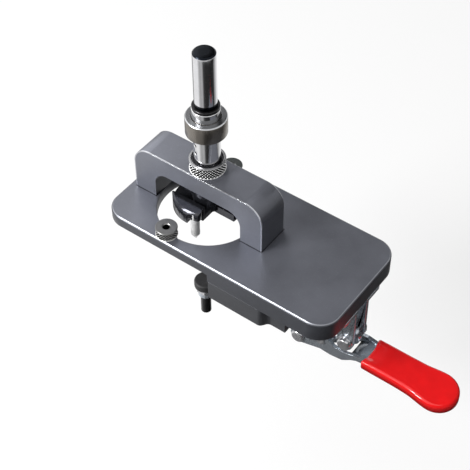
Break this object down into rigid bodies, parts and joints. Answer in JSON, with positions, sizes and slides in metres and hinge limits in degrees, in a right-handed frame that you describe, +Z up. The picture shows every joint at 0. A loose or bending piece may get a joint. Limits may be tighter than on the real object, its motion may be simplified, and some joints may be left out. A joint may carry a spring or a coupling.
{
  "type": "hinge drilling jig",
  "caption": "Drilling jig for concealed cabinet hinges: flat plate and bridge guiding a sliding boring bit, with an under-plate toggle clamp and red grip.",
  "frame": {"origin": "centre of the cup to be bored, on the drill axis in the plane of the plate's seat on the door", "axes": "+X along the plate, out over the door's edge to the clamp handle; +Y across the plate, along the door's edge; +Z up the drill axis, away from the door"},
  "size_m": [0.1856, 0.063, 0.1481],
  "materials": {
    "plate_metal": "fine blasted grey anodised",
    "bridge_metal": "fine blasted grey anodised",
    "block_metal": "grey anodised",
    "black_screws": "black oxide",
    "bush_steel": "turned and knurled",
    "quill_steel": "fine turned",
    "shank_steel": "ground bright",
    "ring_steel": "black spring steel",
    "head_steel": "black oxide",
    "spur_steel": "ground bright",
    "clamp_steel": "zinc plated sheet",
    "pin_steel": "zinc plated",
    "tip_rubber": "matt black",
    "grip_vinyl": "glossy red dipped vinyl"
  },
  "bodies": {
    "frame": {"base_plate": "plate_metal", "bridge": "bridge_metal", "bridge_screws": "black_screws", "guide_bush": "bush_steel", "knurled_ring": "bush_steel", "pilot_bush_front": "bush_steel", "pilot_bush_back": "bush_steel", "fence_block": "block_metal", "fence_screws": "black_screws", "bracket_front": "clamp_steel", "bracket_back": "clamp_steel", "bracket_screws": "black_screws", "arm_pin": "pin_steel", "link_pin": "pin_steel", "pivot_washers": "pin_steel"},
    "quill": {"quill_sleeve": "quill_steel", "depth_collar": "quill_steel", "collar_screw": "black_screws"},
    "bit": {"drill_shank": "shank_steel", "retaining_ring": "ring_steel", "bit_head": "head_steel", "centre_point": "head_steel", "scribing_spurs": "spur_steel"},
    "arm": {"clamp_arm": "clamp_steel", "spindle_front": "black_screws", "spindle_back": "black_screws", "spindle_nuts": "pin_steel", "rubber_tip_front": "tip_rubber", "rubber_tip_back": "tip_rubber"},
    "handle": {"handle_lever": "clamp_steel", "grip": "grip_vinyl", "handle_pin": "pin_steel", "toggle_pin": "pin_steel"},
    "link": {"toggle_link": "clamp_steel"}
  },
  "joints": [
    {"name": "quill_slide", "type": "slide", "parent": "frame", "child": "quill", "axis": [0, 0, 1], "range_m": [-0.0161, 0]},
    {"name": "bit_spin", "type": "hinge", "parent": "quill", "child": "bit", "pos_m": [0, 0, 0.06], "axis": [0, 0, 1], "continuous": true},
    {"name": "arm_hinge", "type": "hinge", "parent": "frame", "child": "arm", "pos_m": [0.058, 0, -0.021], "axis": [0, -1, 0], "range_deg": [0, 45.3]},
    {"name": "handle_hinge", "type": "hinge", "parent": "arm", "child": "handle", "pos_m": [0.06, 0, -0.0414], "axis": [0, -1, 0], "range_deg": [-113, 0]},
    {"name": "link_hinge", "type": "hinge", "parent": "frame", "child": "link", "pos_m": [0.0853, 0, -0.03], "axis": [0, -1, 0], "range_deg": [0, 78]}
  ],
  "couplings": [
    {"joint": "handle_hinge", "follows": "arm_hinge", "ratio": -2.484},
    {"joint": "link_hinge", "follows": "arm_hinge", "ratio": 1.711}
  ]
}
